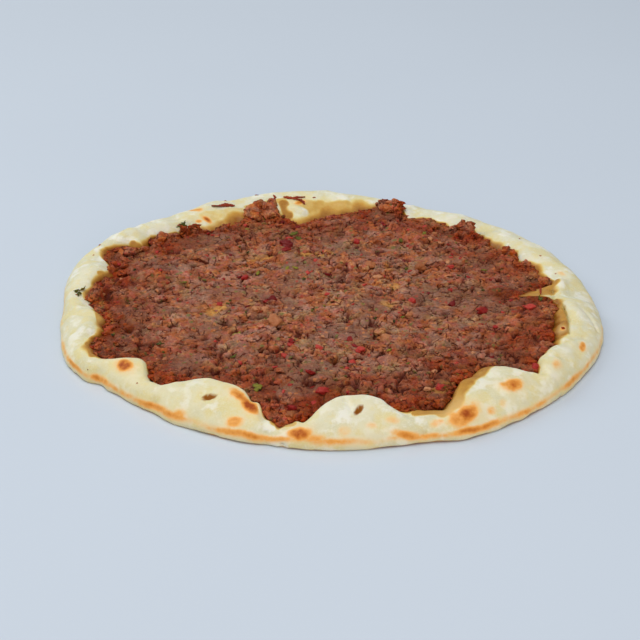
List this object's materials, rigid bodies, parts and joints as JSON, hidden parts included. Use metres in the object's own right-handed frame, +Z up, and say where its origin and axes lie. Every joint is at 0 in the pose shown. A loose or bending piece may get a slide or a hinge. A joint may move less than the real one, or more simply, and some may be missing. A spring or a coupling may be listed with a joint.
{
  "type": "lahmacun",
  "caption": "Round thin flatbread with a puffed rim folded inwards and pinched in places, spread with a level layer of minced meat and chopped vegetables.",
  "frame": {"origin": "middle of the bread's outline on the flat underside that it lies on", "axes": "+Z up out of the topping, +X along the bread's slightly longer width, -Y towards the diner"},
  "size_m": [0.2552, 0.2494, 0.0142],
  "materials": {
    "dough": "baked dough: cream, matt, with toasted spots and a browned edge; oiled to a soft gloss by the meat",
    "meat": "cooked minced meat: grainy, reddish brown, moist and slightly oily",
    "pepper": "cooked red pepper and tomato: moist, softly glossy",
    "parsley": "cooked parsley: dark green, thin, matt",
    "onion": "cooked onion: pale, translucent, moist"
  },
  "bodies": {
    "root": {"dough": "dough", "meat_topping": "meat", "clump_back": "meat", "crumb_back": "meat", "crumb_back_right": "meat", "crumb_right": "meat", "crumb_back_left": "meat"}
  },
  "joints": []
}
